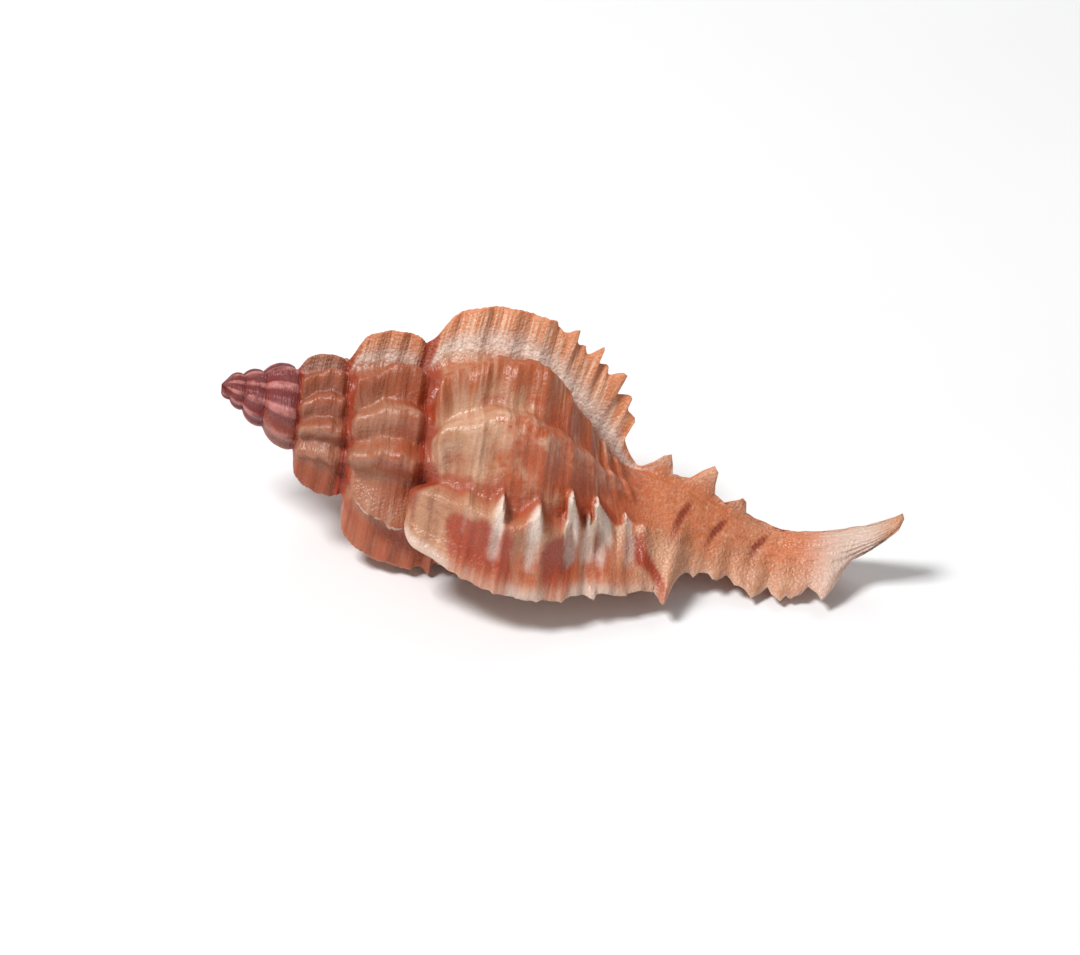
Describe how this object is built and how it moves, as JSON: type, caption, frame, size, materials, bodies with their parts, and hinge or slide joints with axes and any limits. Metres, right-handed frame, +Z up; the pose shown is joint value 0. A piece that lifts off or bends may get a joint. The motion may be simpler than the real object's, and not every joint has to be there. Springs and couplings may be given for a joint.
{
  "type": "murex shell",
  "caption": "Spindle-shaped spiral sea shell with flared frilled flanges, rounded ribs, an open mouth and a long bent canal, lying mouth side down.",
  "frame": {"origin": "bottom centre of the bounding box, on the surface that the shell lies on", "axes": "+X from the apex towards the open end of the canal, +Z up, -Y towards the lip"},
  "size_m": [0.0598, 0.024, 0.0208],
  "materials": {
    "shell": "waxy semi-gloss natural shell"
  },
  "bodies": {
    "root": {"murex_shell": "shell"}
  },
  "joints": []
}
